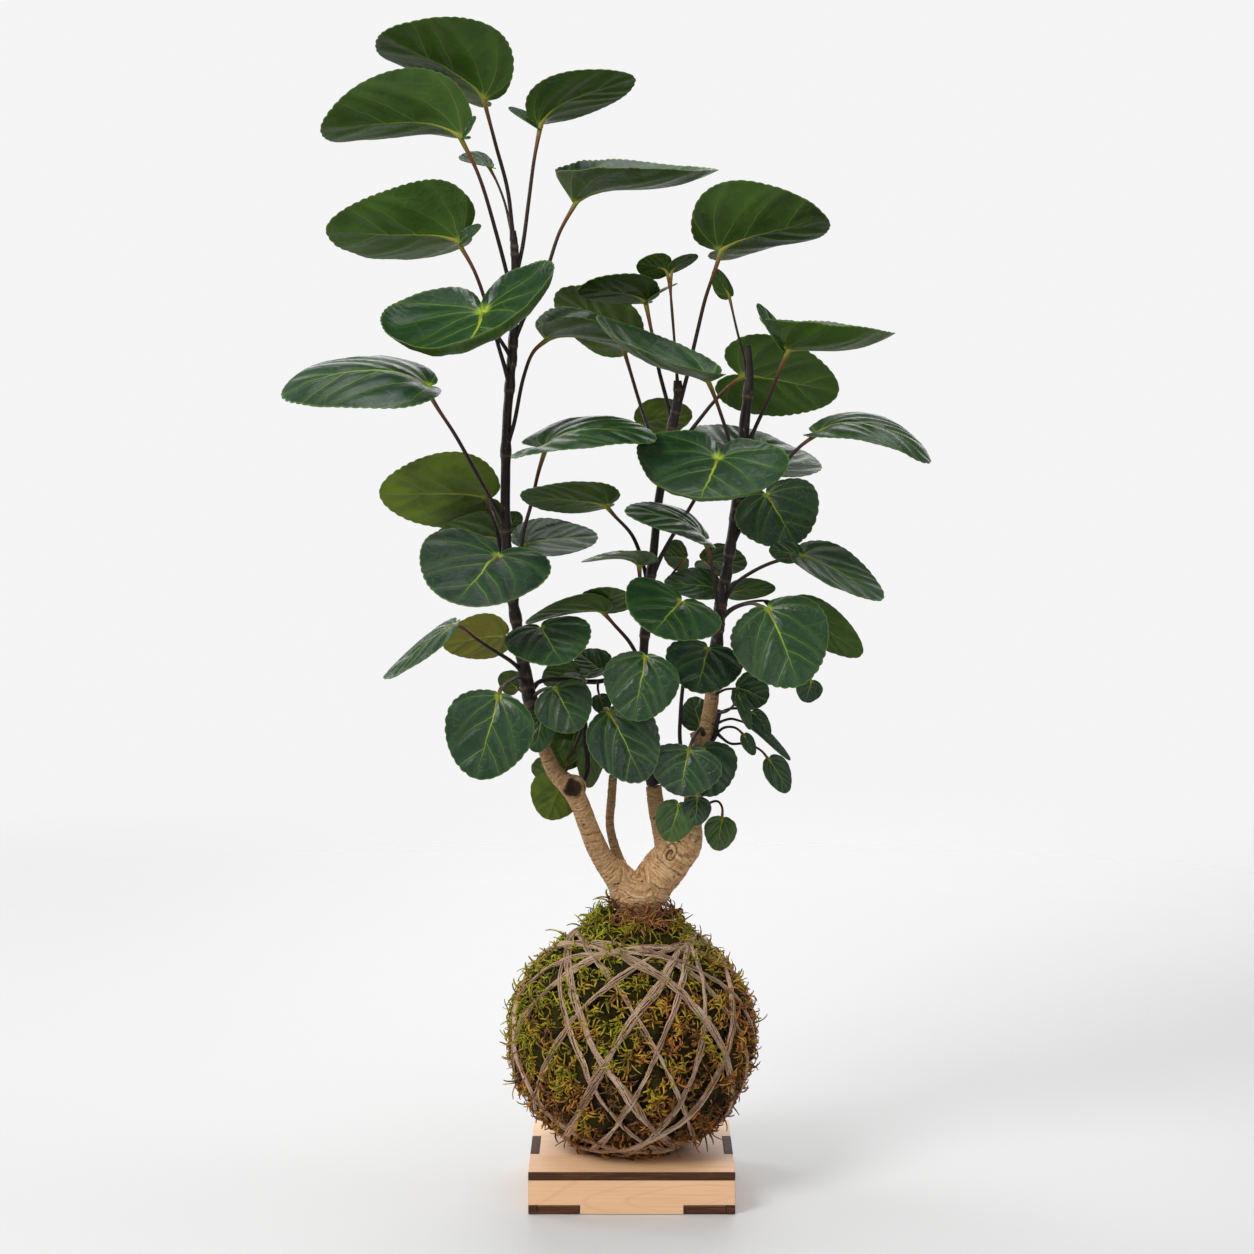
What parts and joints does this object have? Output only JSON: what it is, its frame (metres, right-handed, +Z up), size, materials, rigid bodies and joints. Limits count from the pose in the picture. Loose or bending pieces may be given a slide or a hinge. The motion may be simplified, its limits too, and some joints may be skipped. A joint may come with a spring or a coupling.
{
  "type": "kokedama moss ball plant",
  "caption": "Kokedama: a round-leaved house plant with woody stems, rooted in a twine-bound moss ball that rests on a low square wooden stand.",
  "frame": {"origin": "middle of the wooden stand's underside", "axes": "+Z up along the trunk, -Y towards the front of the stand"},
  "size_m": [0.3695, 0.1784, 0.687],
  "materials": {
    "maple_board": "fine sanded pale maple with burnt dark brown cut edges",
    "soil": "damp dark soil",
    "moss": "soft strands, yellow-green above and orange-brown below",
    "twine": "grey-brown fibrous cord",
    "bark": "rough tan bark with rings, pits and knots",
    "stem": "satin near-black brown with pale specks",
    "leaf": "glossy dark green with lime veins and a pale toothed edge, paler beneath"
  },
  "bodies": {
    "root": {"base_bottom_plate": "maple_board", "base_top_plate": "maple_board", "base_front_panel": "maple_board", "base_back_panel": "maple_board", "base_left_panel": "maple_board", "base_right_panel": "maple_board", "soil_core": "soil", "moss_layer": "moss", "twine_binding": "twine", "trunk": "bark", "stem_left": "stem", "stem_middle": "stem", "stem_right": "stem", "leaf_left_1": "leaf", "leaf_left_2": "leaf", "leaf_left_3": "leaf", "leaf_left_4": "leaf", "leaf_left_5": "leaf", "leaf_left_6": "leaf", "leaf_left_7": "leaf", "leaf_left_8": "leaf", "leaf_left_9": "leaf", "leaf_left_10": "leaf", "leaf_left_11": "leaf", "leaf_left_12": "leaf", "leaf_left_13": "leaf", "leaf_left_14": "leaf", "leaf_left_15": "leaf", "leaf_left_16": "leaf", "middle_top_leaf_pair": "leaf", "leaf_middle_1": "leaf", "leaf_middle_2": "leaf", "leaf_middle_3": "leaf", "leaf_middle_4": "leaf", "leaf_middle_5": "leaf", "leaf_middle_6": "leaf", "leaf_middle_7": "leaf", "leaf_middle_8": "leaf", "leaf_middle_9": "leaf", "leaf_middle_10": "leaf", "leaf_middle_11": "leaf", "leaf_middle_12": "leaf", "leaf_middle_13": "leaf", "leaf_right_1": "leaf", "leaf_right_2": "leaf", "leaf_right_3": "leaf", "leaf_right_4": "leaf", "leaf_right_5": "leaf", "leaf_right_6": "leaf", "leaf_right_7": "leaf", "leaf_right_8": "leaf", "leaf_right_9": "leaf", "leaf_right_10": "leaf", "leaf_right_11": "leaf", "leaf_right_12": "leaf", "leaf_right_13": "leaf", "inner_spray": "leaf", "low_left_spray": "leaf", "right_spray": "leaf", "fork_spray": "leaf"}
  },
  "joints": []
}
